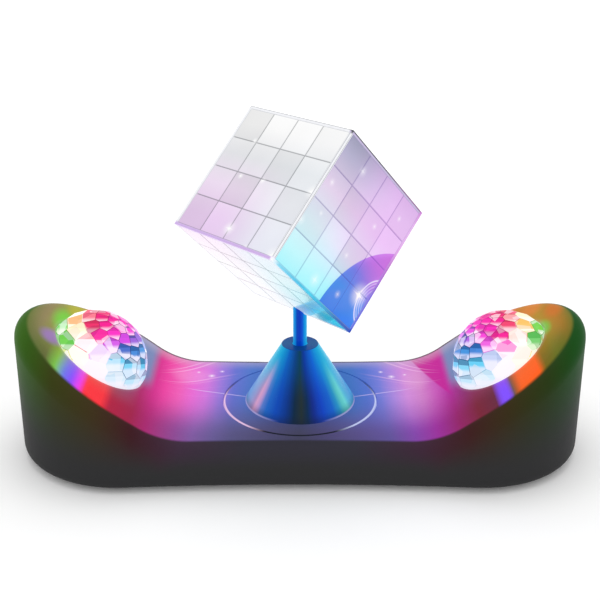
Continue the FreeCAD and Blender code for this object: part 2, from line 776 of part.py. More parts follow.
def make_dome_side(side):
    frame = dome_frame(side)
    drop = size("bearing_drop")
    plate_low = -size("bearing_drop + bearing_thick")
    pinion_y = size("(dome_teeth + pinion_teeth) * gear_module / 2")

    def place(name, item):
        item.Placement = frame.multiply(item.Placement)
        return node(f"{side}_{name}", item)

    place("crystal_dome", turned(f"{side}_dome", dome_profile()))
    place("dome_gear", solid(f"{side}_gear", gear("dome_teeth", "-9.5", "-5", "collar_bore")))

    # Fixed plate under the gear: a spigot guides the gear, an ear carries the motor.
    plate = body(f"{side}_bearing")
    low, thick = "-(bearing_drop + bearing_thick)", "bearing_thick"
    slab(plate, low, thick, circles=[("0", "0", "36")])
    for x, y in ring_points(size("post_ring"), POST_ANGLES):
        slab(plate, low, thick, circles=[(x, y, "4.2")])
    slab(plate, low, thick, [("-15", "30"), ("15", "30"), ("15", "45"), ("-15", "45")])
    slab(plate, "-bearing_drop", "3.8", circles=[("0", "0", "25.92")])
    holes(plate, "-bearing_drop", "3.8", [("0", "0", "23.5")])
    holes(plate, low, thick, [(x, y, "1.2") for x, y in ring_points(size("post_ring"), POST_ANGLES)])
    holes(plate, low, thick, [("0", str(pinion_y), "1.8"), ("-12", str(pinion_y), "pilot_radius"),
                              ("12", str(pinion_y), "pilot_radius"), ("0", "-21", "2.0")])
    place("bearing_plate", plate)
    plate_screw = screw(f"{side}_plate_screw", "pilot_radius", "8.0", "2.2", "1.2")
    posts = ring_points(size("post_ring"), POST_ANGLES)
    repeated(f"{side}_plate_screws", plate_screw, [frame.multiply(at(x, y, plate_low)) for x, y in posts])

    # Light engine under the dome.
    board = body(f"{side}_led_board")
    slab(board, "-bearing_drop", "1.6", circles=[("0", "0", "18.5")])
    place("led_board", board)
    led = turned(f"{side}_led", [
        ("0", "1.6 - bearing_drop"),
        ("2.7", "1.6 - bearing_drop"),
        ("2.7", "2.8 - bearing_drop"),
        ("2.3", "2.8 - bearing_drop", "2.3", 1),
        ("0", "5.1 - bearing_drop"),
    ])
    spots = [(0.0, 0.0)] + ring_points(9.0, (45, 135, 225, 315))
    repeated(f"{side}_leds", led, [frame.multiply(at(x, y, 0)) for x, y in spots])
    place("reflector", turned(f"{side}_reflector", [
        ("13.2", "1.6 - bearing_drop"),
        ("14.4", "1.6 - bearing_drop"),
        ("19.2", "-1.5"),
        ("18.0", "-1.5"),
    ]))

    # Gear motor under the ear, its pinion beside the dome gear.
    motor = turned(f"{side}_motor", [
        ("0", str(plate_low - 14)),
        ("8.4", str(plate_low - 14)),
        ("9.0", str(plate_low - 13.4)),
        ("9.0", str(plate_low - 1.2)),
        ("9.0", str(plate_low)),
        ("1.05", str(plate_low)),
        ("1.05", str(plate_low - 3)),
        ("0", str(plate_low - 3)),
    ])
    ears = body(f"{side}_motor_ears")
    slab(ears, str(plate_low - 1.2), "1.2", [("-14.5", "-4"), ("14.5", "-4"), ("14.5", "4"), ("-14.5", "4")])
    ear_holes = [("0", "0", "8.0")] + [(x, "0", "pilot_radius") for x in ("-12", "12")]
    holes(ears, str(plate_low - 1.2), "1.2", ear_holes)
    case = combine("MultiFuse", f"{side}_motor_case", motor, ears)
    case.Placement = frame.multiply(at(0, pinion_y, 0))
    node(f"{side}_dome_motor", case)
    hang = Rotation(Vector(1, 0, 0), 180)
    motor_screw = screw(f"{side}_motor_screw", "pilot_radius", "3.6", "2.0", "1.1")
    spots = [frame.multiply(at(x, pinion_y, -drop, hang)) for x in (-12, 12)]
    repeated(f"{side}_motor_screws", motor_screw, spots)
    shaft = cylinder(f"{side}_shaft", 1.0, 9.4, frame.multiply(at(0, pinion_y, plate_low - 2.8)))
    node(f"{side}_motor_shaft", shaft)
    turn = Rotation(Z_AXIS, meshed(-90, size("pinion_teeth")))
    pinion = gear("pinion_teeth", "-9.3", "-5.2", 1.0)
    node(f"{side}_pinion", solid(f"{side}_pinion", pinion, frame.multiply(at(0, pinion_y, 0, turn))))


# ---------------------------------------------------------------- electrics at the rear

def make_electrics():
    """Controller board on the tray, the power inlet on its rear edge, and the switch."""
    top = size("board_height") + 1.6
    board = block("main_board", (BOARD[0], BOARD[1], "board_height"), (BOARD[2], BOARD[3], "board_height + 1.6"))
    holes(board, "board_height", "1.6", [(x, y, "1.3") for x, y in BOARD_POSTS])
    node("main_board", board)
    board_screw = screw("board_screw", "pilot_radius", "4.8", "2.2", "1.3")
    hang = Rotation(Vector(1, 0, 0), 180)
    repeated("board_screws", board_screw, [at(x, y, top, hang) for x, y in BOARD_POSTS])
    chips = [
        block("chip", ("-72", "8", top), ("-60", "20", top + 1.6)),
        block("driver_chip", ("-54", "0", top), ("-46", "6", top + 1.5)),
        block("lead_socket_a", ("-86", "14", top), ("-80", "26", top + 5.5)),
        block("lead_socket_b", ("-52", "22", top), ("-40", "28", top + 5.5)),
        cylinder("capacitor", 3.2, 7.5, at(-66, 36, top)),
        cylinder("microphone", 4.0, 3.5, at(-75, -2, top)),
    ]
    node("board_components", solid("board_components", Part.Compound([item.Shape for item in chips])))
    mouth = size(f"{WAIST_Y} - waist_radius") + 0.1
    inlet = block("socket_case", ("socket_x - 4.5", mouth - 8.5, top), ("socket_x + 4.5", mouth, top + 3.3))
    hollow = block("socket_mouth", ("socket_x - 4.1", mouth - 6.5, top + 0.4), ("socket_x + 4.1", mouth + 1, top + 2.9))
    tongue = block("socket_tongue", ("socket_x - 3.3", mouth - 6.6, top + 1.3), ("socket_x + 3.3", mouth - 1, top + 2.0))
    open_case = combine("Cut", "socket_open", inlet, hollow)
    node("power_socket", combine("MultiFuse", "power_socket", open_case, tongue))

    rearward = Rotation(Vector(1, 0, 0), -90)
    x, z = size("button_x"), size("button_height")
    switch = block("switch_board", ("button_x - 12", "46.0", "8.0"), ("button_x + 12", "47.6", "22.0"))
    pilots = [cylinder("switch_hole", 1.0, 4.0, at(post, 44.5, 17.5, rearward)) for post in SWITCH_POSTS]
    node("switch_board", combine("Cut", "switch_board", switch, *pilots))
    forward = Rotation(Vector(1, 0, 0), 90)
    switch_screw = screw("switch_screw", "0.9", "4.6", "1.8", "1.0")
    repeated("switch_screws", switch_screw, [at(post, 47.6, 17.5, forward) for post in SWITCH_POSTS])
    case = block("tact_case", (x - 3, 47.6, z - 3), (x + 3, 51.0, z + 3))
    plunger = cylinder("tact_plunger", 1.7, 1.0, at(x, 51.0, z, rearward))
    node("tact_switch", combine("MultiFuse", "tact_switch", case, plunger))
    cap = turned("button_cap", [
        ("0", "0"),
        ("button_radius + 1.2", "0"),
        ("button_radius + 1.2", "1.4"),
        ("button_radius", "1.4"),
        ("button_radius", "5.4"),
        ("button_radius - 0.7", "6.1"),
        ("0", "6.1"),
    ])
    cap.Placement = at(x, 53.4, z, rearward)
    node("power_button", cap)


make_upper_shell()
make_bottom_tray()
make_tray_hardware()
make_centre_plate()
make_cone()
make_spindle()
make_spindle_drive()
make_cube()
for side_name in SIDES:
    make_dome_side(side_name)
make_electrics()

# ---------------------------------------------------------------- check and write

doc.recompute()
for item in doc.Objects:
    if {"Invalid", "Error"} & set(item.State):
        raise RuntimeError(f"{item.Name} did not recompute: {item.State}")
for name, item in nodes.items():
    if item.Shape.isNull() or not item.Shape.isValid() or not item.Shape.Solids:
        raise RuntimeError(f"{name} has no valid solid")

os.makedirs(PARTS, exist_ok=True)
for name, item in nodes.items():
    item.Shape.exportStep(os.path.join(PARTS, name + ".step"))
print(len(nodes), "sub-parts written")
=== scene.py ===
import json
from math import cos, pi, radians, sin, sqrt, tan

import bmesh
import bpy
from mathutils import Matrix, Vector


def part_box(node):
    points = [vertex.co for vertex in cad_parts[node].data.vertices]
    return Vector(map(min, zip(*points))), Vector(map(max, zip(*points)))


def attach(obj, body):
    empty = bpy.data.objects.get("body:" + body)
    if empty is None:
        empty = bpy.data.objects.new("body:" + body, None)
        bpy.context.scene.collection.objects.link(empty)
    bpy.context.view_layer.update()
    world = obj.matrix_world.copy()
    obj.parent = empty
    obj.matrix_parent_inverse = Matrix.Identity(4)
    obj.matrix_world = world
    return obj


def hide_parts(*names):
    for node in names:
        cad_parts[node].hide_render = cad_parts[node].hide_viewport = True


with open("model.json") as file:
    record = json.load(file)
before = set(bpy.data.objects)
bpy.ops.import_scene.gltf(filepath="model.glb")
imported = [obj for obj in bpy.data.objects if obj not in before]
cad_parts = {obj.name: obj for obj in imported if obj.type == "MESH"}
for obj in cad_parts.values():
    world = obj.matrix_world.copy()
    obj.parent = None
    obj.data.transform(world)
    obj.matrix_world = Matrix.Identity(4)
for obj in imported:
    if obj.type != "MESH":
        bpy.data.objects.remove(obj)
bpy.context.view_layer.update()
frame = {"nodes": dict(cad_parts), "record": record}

MM = 0.001
NODES = frame["nodes"]

# ---------------------------------------------------------------- sizes, metres

SIDES = {"left": -1, "right": 1}
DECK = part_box("centre_plate")[1].z
PLATE_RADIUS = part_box("centre_plate")[1].x
CONE_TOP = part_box("cone_cover")[1].z
# The base in plan: two round ends joined by sides that draw in to a waist.
BASE_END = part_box("upper_shell")[1].x
END_CENTRE = 0.1015
END_RADIUS = BASE_END - END_CENTRE
WAIST_HALF = 0.0579
# A ramp's straight part, drawn on down, meets the deck at its foot.
RAMP_FOOT = 0.0762
RAMP_ANGLE = radians(36)
RIM_TOP = 0.086
# The cube stands on its lowest edge, over the spindle.
CUBE_EDGE = 0.080
CUBE_HEADING = radians(46.87)
CUBE_CENTRE = Vector((0, 0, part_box("cube_edge_frame")[1].z - CUBE_EDGE * sqrt(0.5)))
STRIP = 0.0015
TILE_ROWS = 4
# A dome is a cap of a sphere, on a short round skirt that sits in the ramp.
DOME_X = 0.116
DOME_RADIUS = 0.0294
DOME_SPHERE = 0.02985
DOME_DROP = sqrt(DOME_SPHERE ** 2 - DOME_RADIUS ** 2)
DOME_SKIRT = 0.0028

# Ranges that the colour runs cover: millimetres along the base and across a cube face, degrees, shares.
BASE_SPAN = (-BASE_END / MM, BASE_END / MM)
FACE_SPAN = (-CUBE_EDGE / 2 / MM, CUBE_EDGE / 2 / MM)
FULL_TURN = (-180, 180)
LEFT_TO_RIGHT = (-1, 1)


def rgb(red, green, blue):
    """A display colour, 0 to 255, as Blender's linear colour."""
    linear = []
    for value in (red, green, blue):
        share = value / 255
        linear.append(share / 12.92 if share <= 0.04045 else ((share + 0.055) / 1.055) ** 2.4)
    return (*linear, 1.0)


# ---------------------------------------------------------------- node material builder

class Paint:
    """One node material. Each method adds nodes and returns their output socket."""

    def __init__(self, name):
        self.material = bpy.data.materials.new(name)
        self.material.use_nodes = True
        self.tree = self.material.node_tree
        self.surface = self.tree.nodes["Principled BSDF"]
        self._place = None

    def node(self, kind, **settings):
        item = self.tree.nodes.new("ShaderNode" + kind)
        for key, value in settings.items():
            setattr(item, key, value)
        return item

    def put(self, value, socket):
        if isinstance(value, bpy.types.NodeSocket):
            self.tree.links.new(value, socket)
        elif value is not None:
            socket.default_value = value[:3] if socket.type == "VECTOR" else value

    def set(self, **inputs):
        """Values on the shader's own sockets; an underscore in a name stands for a space."""
        for key, value in inputs.items():
            self.put(value, self.surface.inputs[key.replace("_", " ")])

    def math(self, operation, a, b=None):
        item = self.node("Math", operation=operation)
        for value, socket in zip((a, b), item.inputs):
            self.put(value, socket)
        return item.outputs[0]

    def add(self, a, b):
        return self.math("ADD", a, b)

    def minus(self, a, b):
        return self.math("SUBTRACT", a, b)

    def times(self, a, b):
        return self.math("MULTIPLY", a, b)

    def over(self, a, b):
        return self.math("DIVIDE", a, b)

    def most(self, a, b):
        return self.math("MAXIMUM", a, b)

    def least(self, a, b):
        return self.math("MINIMUM", a, b)

    def away(self, a, b):
        return self.math("ABSOLUTE", self.minus(a, b))

    def radius(self, a, b):
        """Length of a flat vector."""
        return self.math("POWER", self.add(self.times(a, a), self.times(b, b)), 0.5)

    def step(self, value, low, high):
        """0 below low, 1 above high, smooth between."""
        item = self.node("MapRange", interpolation_type="SMOOTHSTEP")
        self.put(value, item.inputs["Value"])
        self.put(low, item.inputs["From Min"])
        self.put(high, item.inputs["From Max"])
        return item.outputs["Result"]

    def fall(self, value, low, high):
        """1 below low, 0 above high, smooth between."""
        return self.minus(1.0, self.step(value, low, high))

    def place(self):
        if self._place is None:
            self._place = self.node("TexCoord").outputs["Object"]
        return self._place

    def xyz(self, vector=None, scale=1 / MM):
        """The three coordinates, in millimetres unless told otherwise."""
        item = self.node("SeparateXYZ")
        self.put(self.place() if vector is None else vector, item.inputs[0])
        return [self.times(socket, scale) for socket in item.outputs]

    def join(self, x, y, z):
        item = self.node("CombineXYZ")
        for value, socket in zip((x, y, z), item.inputs):
            self.put(value, socket)
        return item.outputs[0]

    def ramp(self, factor, stops, interpolation="LINEAR"):
        """A colour ramp; stops are (position, colour)."""
        item = self.node("ValToRGB")
        band = item.color_ramp
        band.interpolation = interpolation
        while len(band.elements) < len(stops):
            band.elements.new(0.5)
        for element, (position, _) in zip(band.elements, stops):
            element.position = position
        for element, (_, colour) in zip(band.elements, stops):
            element.color = colour
        self.put(factor, item.inputs[0])
        return item.outputs[0]

    def run(self, value, span, stops):
        """A colour ramp over a coordinate; span is its low and high end, in the stops' own units."""
        low, high = span
        share = self.times(self.minus(value, low), 1 / (high - low))
        return self.ramp(share, [((where - low) / (high - low), colour) for where, colour in stops])

    def mix(self, factor, a, b, blend="MIX"):
        item = self.node("Mix", data_type="RGBA", blend_type=blend)
        colours = [socket for socket in item.inputs if socket.type == "RGBA"]
        self.put(factor, item.inputs[0])
        self.put(a, colours[0])
        self.put(b, colours[1])
        return item.outputs[2]

    def cover(self, colour, tint, mask, share):
        """A colour with a tint laid over it where the mask is 1, up to the given share."""
        return self.mix(self.times(mask, share), colour, tint)

    def dim(self, colour, factor):
        """A colour times a number."""
        item = self.node("VectorMath", operation="SCALE")
        self.put(colour, item.inputs[0])
        self.put(factor, item.inputs["Scale"])
        return item.outputs[0]

    def noise(self, scale, detail=2.0, vector=None):
        item = self.node("TexNoise")
        self.put(self.place() if vector is None else vector, item.inputs["Vector"])
        item.inputs["Scale"].default_value = scale
        item.inputs["Detail"].default_value = detail
        return item.outputs["Fac"]

    def stripes(self, value, scale):
        """Noise along one number only."""
        item = self.node("TexNoise", noise_dimensions="1D")
        self.put(value, item.inputs["W"])
        item.inputs["Scale"].default_value = scale
        item.inputs["Detail"].default_value = 1.0
        return item.outputs["Fac"]

    def mottle(self, colour, scale, spread, detail=2.0, vector=None):
        """A colour whose brightness varies a little over the surface."""
        share = self.add(self.times(self.noise(scale, detail, vector), spread), 1 - spread / 2)
        return self.dim(colour, share)

    def wear(self, base, spread, scale=220.0):
        """Roughness that varies a little over the surface."""
        return self.add(self.times(self.noise(scale, 3.0), spread), base - spread / 2)

    def shine(self, colour, lit, glow):
        """A colour shared between the room's light and a painted glow, which gives off the colour as
        light.
        """
        self.set(Base_Color=self.dim(colour, lit), Emission_Color=colour, Emission_Strength=glow)

    def bump(self, height, strength, distance=0.0002):
        item = self.node("Bump")
        item.inputs["Strength"].default_value = strength
        item.inputs["Distance"].default_value = distance
        self.put(height, item.inputs["Height"])
        self.tree.links.new(item.outputs[0], self.surface.inputs["Normal"])


def sparkles(paint, x, y, spots):
    """Four-pointed light stars with soft halos, at (x, y, radius)."""
    total = None
    for spot_x, spot_y, radius in spots:
        dx, dy = paint.away(x, spot_x), paint.away(y, spot_y)
        point = paint.add(paint.math("POWER", dx, 0.5), paint.math("POWER", dy, 0.5))
        star = paint.fall(point, 0.5 * radius ** 0.5, (1.6 * radius) ** 0.5)
        halo = paint.times(paint.fall(paint.radius(dx, dy), 0.0, radius * 1.3), 0.55)
        glint = paint.most(star, halo)
        total = glint if total is None else paint.most(total, glint)
    return total


# ---------------------------------------------------------------- housing colours

# Light on the rear of the deck, by millimetres from the middle.
REAR_GLOW = [
    (-163, rgb(78, 96, 36)), (-155, rgb(102, 116, 52)), (-147, rgb(146, 130, 90)),
    (-139, rgb(150, 156, 72)), (-124, rgb(190, 150, 60)), (-100, rgb(124, 120, 150)),
    (-92, rgb(190, 44, 118)), (-86, rgb(218, 46, 142)), (-80, rgb(240, 66, 162)),
    (-72, rgb(244, 94, 184)), (-64, rgb(236, 108, 212)), (-56, rgb(214, 120, 222)),
    (-48, rgb(158, 122, 220)), (-40, rgb(104, 116, 210)), (-30, rgb(78, 120, 202)),
    (0, rgb(56, 98, 180)), (30, rgb(64, 118, 198)), (40, rgb(86, 118, 210)),
    (48, rgb(120, 128, 220)), (56, rgb(176, 138, 224)), (64, rgb(214, 142, 220)),
    (72, rgb(214, 132, 202)), (80, rgb(206, 92, 186)), (87, rgb(190, 46, 164)),
    (94, rgb(160, 60, 140)), (128, rgb(214, 120, 56)), (140, rgb(178, 140, 48)),
    (148, rgb(176, 120, 40)), (156, rgb(92, 112, 36)), (163, rgb(48, 86, 26)),
]

# Light on the front of the deck, with the narrow beams that leave each dome.
FRONT_GLOW = [
    (-163, rgb(52, 84, 26)), (-147, rgb(64, 98, 32)), (-139, rgb(96, 98, 56)),
    (-133, rgb(124, 196, 74)), (-128, rgb(110, 116, 232)), (-124, rgb(134, 78, 250)),
    (-120, rgb(236, 62, 236)), (-117, rgb(252, 52, 60)), (-108, rgb(250, 50, 60)),
    (-104, rgb(176, 26, 62)), (-93, rgb(162, 26, 72)), (-85, rgb(172, 34, 112)),
    (-70, rgb(150, 72, 152)), (-60, rgb(138, 94, 172)),
    (-48, rgb(114, 98, 164)), (-38, rgb(98, 92, 146)), (0, rgb(80, 78, 106)),
    (50, rgb(106, 88, 168)), (64, rgb(140, 70, 178)),
    (76, rgb(160, 44, 158)), (88, rgb(148, 28, 100)), (98, rgb(122, 30, 52)),
    (107, rgb(104, 38, 60)), (110, rgb(130, 78, 252)), (114, rgb(130, 78, 252)),
    (116, rgb(112, 84, 44)), (120, rgb(250, 100, 32)), (130, rgb(255, 96, 28)),
    (133, rgb(118, 100, 24)), (140, rgb(92, 106, 30)), (148, rgb(58, 98, 28)),
    (163, rgb(40, 78, 22)),
]

# Light that spills over the rim onto the top of the walls.
WALL_GLOW = [
    (-163, rgb(58, 106, 22)), (-150, rgb(48, 86, 16)), (-134, rgb(54, 60, 16)),
    (-112, rgb(60, 48, 24)), (-92, rgb(62, 26, 32)), (-66, rgb(62, 44, 62)),
    (-30, rgb(52, 50, 60)), (30, rgb(52, 50, 60)), (66, rgb(62, 38, 56)),
    (92, rgb(62, 30, 30)), (112, rgb(54, 44, 20)), (134, rgb(38, 56, 16)),
    (150, rgb(20, 72, 18)), (163, rgb(14, 80, 22)),
]

CHARCOAL = rgb(48, 48, 49)

# Painted pools of coloured light that the domes throw on the deck.
DECK_LIGHT_POOLS = [
    # middle, half size, colour, share
    ((-138, 12), (8, 20), rgb(120, 206, 70), 0.9),
    ((-133, 32), (9, 14), rgb(184, 182, 62), 0.85),
    ((-127, 47), (12, 8), rgb(214, 150, 48), 0.8),
    ((-140, -14), (8, 11), rgb(160, 118, 196), 0.8),
    ((-112, 50), (14, 8), rgb(196, 96, 90), 0.5),
    ((126, 48), (14, 11), rgb(228, 112, 74), 0.8),
    ((139, 30), (8, 14), rgb(226, 130, 62), 0.7),
    ((148, 13), (7, 14), rgb(210, 112, 42), 0.7),
    ((140, -1), (5, 12), rgb(120, 196, 74), 0.85),
    ((-66, 30), (17, 15), rgb(250, 176, 226), 0.3),
    ((70, 24), (11, 20), rgb(240, 176, 220), 0.3),
]

# Painted light stars on the deck, at (x, y, radius).
DECK_SPOTS = [
    (-62.7, 35.8, 1.3), (-54.3, 30.8, 2.4), (-48.3, 37.0, 1.6),
    (50.0, 36.3, 1.6), (56.2, 29.6, 2.4), (64.5, 32.0, 1.3),
]


def rim_inset(paint, x, y, out):
    """Distance in from the housing's outer wall, in plan."""
    beyond = paint.most(paint.minus(out, END_CENTRE / MM), 0.0)
    along = paint.least(paint.times(out, MM / END_CENTRE), 1.0)
    swell = (END_RADIUS - WAIST_HALF) / MM
    edge = paint.add(paint.times(paint.times(along, along), swell), WAIST_HALF / MM)
    return paint.minus(edge, paint.radius(beyond, y))


def soft_patch(paint, x, y, middle, half):
    """1 at a place on the deck, falling to 0 over an oval with the given half sizes."""
    dx = paint.times(paint.minus(x, middle[0]), 1 / half[0])
    dy = paint.times(paint.minus(y, middle[1]), 1 / half[1])
    return paint.fall(paint.radius(dx, dy), 0.25, 1.0)


def deck_rays(paint, y, out, glow):
    """Fine rays from each dome towards the middle, bending to the rear."""
    run = paint.minus(100.0, out)
    rise = paint.minus(y, 2.0)
    slope = paint.over(paint.add(rise, paint.times(run, 0.1)), paint.math("POWER", run, 0.8))
    lines = paint.step(paint.stripes(slope, 5.5), 0.58, 0.70)
    reach = paint.times(paint.step(run, 12.0, 34.0), paint.fall(run, 40.0, 66.0))
    rays = paint.times(paint.times(lines, reach), paint.step(y, 0.0, 14.0))
    glow = paint.cover(glow, rgb(255, 206, 244), rays, 0.45)
    thin = paint.fall(paint.away(y, paint.add(paint.times(out, 0.29), -6.6)), 0.2, 0.7)
    thin = paint.times(thin, paint.times(paint.step(out, 24.0, 40.0), paint.fall(out, 56.0, 72.0)))
    return paint.cover(glow, rgb(236, 214, 255), thin, 0.55)


def deck_glow(paint, x, y, out):
    """The coloured light that the domes throw over the deck."""
    rear, front = paint.run(x, BASE_SPAN, REAR_GLOW), paint.run(x, BASE_SPAN, FRONT_GLOW)
    soft = paint.times(paint.minus(paint.noise(28.0), 0.5), 10.0)
    glow = paint.mix(paint.step(paint.add(y, soft), -44.0, 6.0), front, rear)
    # A grey-teal shade behind the inner side of each dome.
    teal = paint.times(paint.fall(paint.away(out, 94.0), 2.5, 9.0), paint.step(y, -10.0, 12.0))
    glow = paint.cover(glow, rgb(114, 146, 190), teal, 0.9)
    for middle, half, colour, share in DECK_LIGHT_POOLS:
        glow = paint.cover(glow, colour, soft_patch(paint, x, y, middle, half), share)
    # At the right a crisp slanting line parts deep magenta from pale orchid.
    line = paint.add(paint.times(y, -0.28), 84.4)
    beyond = paint.times(paint.step(paint.minus(x, line), -0.6, 0.8), paint.fall(x, 85.0, 90.0))
    beyond = paint.times(beyond, paint.step(y, -20.0, 0.0))
    glow = paint.cover(glow, rgb(202, 28, 150), beyond, 0.9)
    glow = deck_rays(paint, y, out, glow)
    # Light spilling round the foot of each dome.
    along = paint.times(paint.minus(out, DOME_X / MM), 1 / cos(RAMP_ANGLE))
    spill = paint.fall(paint.radius(along, y), DOME_RADIUS / MM, DOME_RADIUS / MM + 3.0)
    glow = paint.cover(glow, rgb(236, 226, 240), spill, 0.1)
    # Painted light makes the rear rim paler, and painted shade darkens the flat middle towards the front
    # edge.
    glow = paint.cover(glow, rgb(206, 186, 200), paint.step(y, 38.0, 54.0), 0.45)
    shade = paint.times(paint.fall(y, -53.0, -22.0), paint.fall(out, 30.0, 100.0))
    return paint.cover(glow, rgb(40, 42, 52), shade, 0.28)


def plate_gleam(paint, x, y, out, glow):
    """The centre plate's rounded edge: painted dark shade, and painted highlights at its sides, which face
    the domes.
    """
    from_middle = paint.radius(x, y)
    edge = PLATE_RADIUS / MM
    on_edge = paint.step(from_middle, edge - 1.5, edge - 0.8)
    on_edge = paint.times(on_edge, paint.fall(from_middle, edge + 0.1, edge + 0.2))
    sideways = paint.over(out, paint.most(from_middle, 1.0))
    catch = paint.times(paint.step(sideways, 0.42, 0.72), paint.fall(y, -2.0, 22.0))
    bright = paint.mix(paint.step(x, -1.0, 1.0), rgb(246, 206, 240), rgb(206, 214, 252))
    gleam = paint.mix(catch, rgb(30, 32, 44), bright)
    return paint.mix(paint.times(on_edge, paint.fall(y, 16.0, 30.0)), glow, gleam)


def wall_colour(paint, x, out, below):
    """Charcoal, tinted for a way below the rim by the light that spills over it."""
    way = paint.add(paint.times(paint.step(out, 60.0, 160.0), 50.0), 15.0)
    fade = paint.step(paint.over(below, way), 0.0, 1.0)
    return paint.mix(fade, paint.run(x, BASE_SPAN, WALL_GLOW), CHARCOAL)


def housing_paint():
    """Fine-grained charcoal moulding with the domes' coloured light painted on its deck and rims, and a
    painted glow.
    """
    paint = Paint("housing_plastic")
    x, y, z = paint.xyz()
    out = paint.math("ABSOLUTE", x)
    glow = deck_glow(paint, x, y, out)
    glow = paint.mix(sparkles(paint, x, y, DECK_SPOTS), glow, rgb(255, 240, 255))
    glow = plate_gleam(paint, x, y, out, glow)
    climb = paint.most(paint.minus(out, RAMP_FOOT / MM), 0.0)
    rim = paint.least(paint.add(paint.times(climb, tan(RAMP_ANGLE)), DECK / MM), RIM_TOP / MM)
    below = paint.minus(rim, z)
    on_deck = paint.times(paint.step(rim_inset(paint, x, y, out), 6.6, 9.2), paint.fall(below, 8.0, 12.0))
    colour = paint.mix(on_deck, wall_colour(paint, x, out, below), glow)
    paint.set(Roughness=paint.wear(0.52, 0.08), Specular_IOR_Level=0.05)
    paint.shine(paint.mottle(colour, 900.0, 0.10), 0.62, 0.38)
    paint.bump(paint.noise(2600.0), 0.10)
    return paint.material


# ---------------------------------------------------------------- cube colours

# Painted reflection tones of the sixteen tiles, from the lowest row up, left to right in each row.
UPPER_REFLECTION_TONES = (
    0.88, 1.0, 0.97, 0.98, 0.94, 0.84, 1.0, 0.90,
    0.94, 0.97, 0.88, 0.97, 0.86, 1.0, 1.0, 0.94)
SIDE_REFLECTION_TONES = (
    0.98, 1.0, 1.0, 1.0, 0.92, 1.0, 0.86, 0.96,
    0.96, 0.88, 0.94, 1.0, 0.92, 1.0, 1.0, 0.95)
UNDER_REFLECTION_TONES = (
    1.0, 0.97, 1.0, 0.98, 0.98, 1.0, 0.96, 1.0,
    1.0, 0.96, 1.0, 0.97, 0.98, 1.0, 0.97, 1.0)

# Each kind of face: painted reflection colours up its left side and up its right side, and where they
# change over.
UPPER = (
    [(-40, rgb(228, 200, 236)), (-29, rgb(231, 203, 238)), (-10, rgb(240, 222, 244)),
     (10, rgb(228, 229, 233)), (29, rgb(247, 247, 247)), (40, rgb(251, 251, 251))],
    [(-40, rgb(232, 234, 246)), (-10, rgb(236, 238, 244)), (10, rgb(232, 236, 240)),
     (29, rgb(250, 250, 251)), (40, rgb(254, 254, 254))],
    (-14, 32),
)
SIDE = (
    [(-40, rgb(160, 242, 250)), (-29, rgb(188, 243, 248)), (-10, rgb(214, 232, 241)),
     (10, rgb(222, 204, 230)), (29, rgb(178, 174, 204)), (40, rgb(148, 148, 176))],
    [(-40, rgb(140, 236, 252)), (-29, rgb(166, 240, 251)), (-10, rgb(232, 214, 246)),
     (10, rgb(232, 190, 242)), (29, rgb(224, 184, 236)), (40, rgb(214, 172, 228))],
    (-34, 24),
)
UNDER = (
    [(-40, rgb(247, 250, 252)), (0, rgb(248, 245, 250)), (29, rgb(247, 228, 246)),
     (40, rgb(244, 220, 244))],
    [(-40, rgb(36, 206, 240)), (-26, rgb(60, 212, 240)), (-8, rgb(160, 238, 247)),
     (10, rgb(206, 245, 249)), (40, rgb(228, 238, 250))],
    (-16, 34),
)

# Light stars on the faces, at (across, up, radius).
UPPER_SPOTS = [
    (0, -32, 4.2), (-21, 20, 2.0), (-15, -2, 2.0), (2, -1, 2.0), (38, 1, 4.0),
    (38, -38, 5.0), (18, -39, 2.0),
]
SIDE_SPOTS = [
    (-18, 29, 3.0), (-33, 12, 2.2), (12, 13, 2.0), (-38, -14, 3.4), (-6, -32, 4.2),
    (15, -29, 2.4), (5, -10, 1.8), (-28, -4, 1.6), (26, 27, 1.8),
]
CORNER_STAR = (30, -21, 7.0)

# Each kind of face: painted reflection colours, painted reflection tones, share and colour of the tiles'
# rims, light stars with their strength.
FACE_KINDS = {
    "upper": (UPPER, UPPER_REFLECTION_TONES, 0.55, rgb(116, 120, 124), [(UPPER_SPOTS, 1.0)]),
    "side": (SIDE, SIDE_REFLECTION_TONES, 0.32, rgb(96, 76, 156), [(SIDE_SPOTS, 0.5), ([CORNER_STAR], 1.0)]),
    "under": (UNDER, UNDER_REFLECTION_TONES, 0.4, rgb(190, 186, 200), []),
}
# Each face: its kind, and how much of its colour it gives off as a painted glow.
FACES = {
    "upper_left": ("upper", 0.745), "upper_back": ("upper", 0.60),
    "right": ("side", 0.80), "left_back": ("side", 0.78),
    "under_left": ("under", 0.54), "under_back": ("under", 0.58),
}

PITCH = (CUBE_EDGE - 2 * STRIP) / TILE_ROWS / MM


def cube_matrix():
    """From the cube's own axes to the row frame; the cube stands on its lowest edge."""
    away = Vector((sin(CUBE_HEADING), cos(CUBE_HEADING), 0))
    along = Vector((-cos(CUBE_HEADING), sin(CUBE_HEADING), 0))
    up = Vector((0, 0, 1))
    upper = (up + away).normalized()
    lower = (away - up).normalized()
    turn = Matrix((along, upper, lower)).transposed()
    return Matrix.Translation(CUBE_CENTRE) @ turn.to_4x4()


def cube_coordinates(paint):
    """The cube's own three coordinates, in millimetres from its centre."""
    place = cube_matrix()
    mapping = paint.node("Mapping", vector_type="TEXTURE")
    paint.put(paint.place(), mapping.inputs["Vector"])
    mapping.inputs["Location"].default_value = place.to_translation()
    mapping.inputs["Rotation"].default_value = place.to_euler("XYZ")
    return paint.xyz(mapping.outputs[0])


def face_axes(paint, face):
    """The two coordinates of a face, across it and up it."""
    along, upper, lower = cube_coordinates(paint)
    if FACES[face][0] == "side":
        return lower, upper
    across = paint.times(along, -1.0)
    return across, upper if face in ("upper_left", "under_back") else paint.times(lower, -1.0)


def tile_number(paint, value):
    """0 to 3 across the four rows of tiles."""
    return paint.math("FLOOR", paint.add(paint.times(value, 1 / PITCH), TILE_ROWS / 2))


